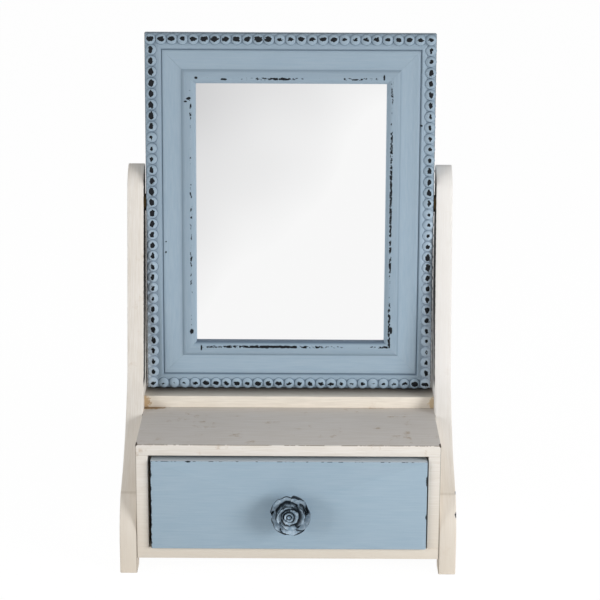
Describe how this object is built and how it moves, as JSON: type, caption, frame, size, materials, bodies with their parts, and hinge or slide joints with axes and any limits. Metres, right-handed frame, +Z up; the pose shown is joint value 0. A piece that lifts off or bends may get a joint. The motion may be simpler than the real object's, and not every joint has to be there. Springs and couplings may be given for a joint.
{
  "type": "vanity mirror with drawer",
  "caption": "Table-top vanity mirror: a beaded frame tilts between two shaped uprights above a small box with one drawer and a rose knob.",
  "frame": {"origin": "middle of the bounding box, at the level its feet stand on", "axes": "+Z up, +X to the user's right, the drawer opens towards -Y"},
  "size_m": [0.3008, 0.1984, 0.4653],
  "materials": {
    "cream_paint": "worn matt cream paint on wood",
    "grey_paint": "worn matt greyed paint on wood",
    "blue_paint": "matt grey-blue paint rubbed through to a dark base",
    "knob_paint": "matt grey-blue paint over a dark cast rose",
    "raw_wood": "bare pine",
    "brown_board": "brown hardboard",
    "silvered_glass": "silvered glass",
    "steel": "plain steel",
    "brass": "brass darkened by age"
  },
  "bodies": {
    "stand": {"side_panel_left": "cream_paint", "side_panel_right": "cream_paint", "box_top": "grey_paint", "box_bottom": "cream_paint", "box_side_left": "cream_paint", "box_side_right": "cream_paint", "box_back": "brown_board", "rear_rail": "cream_paint", "panel_screws": "steel", "rail_dowels": "raw_wood", "carcass_dowels": "raw_wood", "back_brads": "steel", "pivot_bush_left": "brass", "pivot_bush_right": "brass"},
    "mirror": {"frame_rail_top": "blue_paint", "frame_rail_bottom": "blue_paint", "frame_rail_left": "blue_paint", "frame_rail_right": "blue_paint", "mirror_glass": "silvered_glass", "backing_board": "brown_board", "backing_brads": "steel", "corner_nails": "steel", "pivot_bolt_left": "steel", "pivot_bolt_right": "steel", "pivot_washer_left": "brass", "pivot_washer_right": "brass", "pivot_insert_left": "brass", "pivot_insert_right": "brass"},
    "drawer": {"drawer_front": "blue_paint", "drawer_side_left": "raw_wood", "drawer_side_right": "raw_wood", "drawer_back": "raw_wood", "drawer_bottom": "raw_wood", "drawer_brads": "steel", "knob_stem": "knob_paint", "knob_rose": "knob_paint", "knob_screw": "steel", "knob_washer": "steel"}
  },
  "joints": [
    {"name": "mirror_tilt", "type": "hinge", "parent": "stand", "child": "mirror", "pos_m": [0, 0.07774, 0.30879], "axis": [1, 0, 0], "continuous": true},
    {"name": "drawer_slide", "type": "slide", "parent": "stand", "child": "drawer", "axis": [0, -1, 0], "range_m": [0, 0.1]}
  ]
}
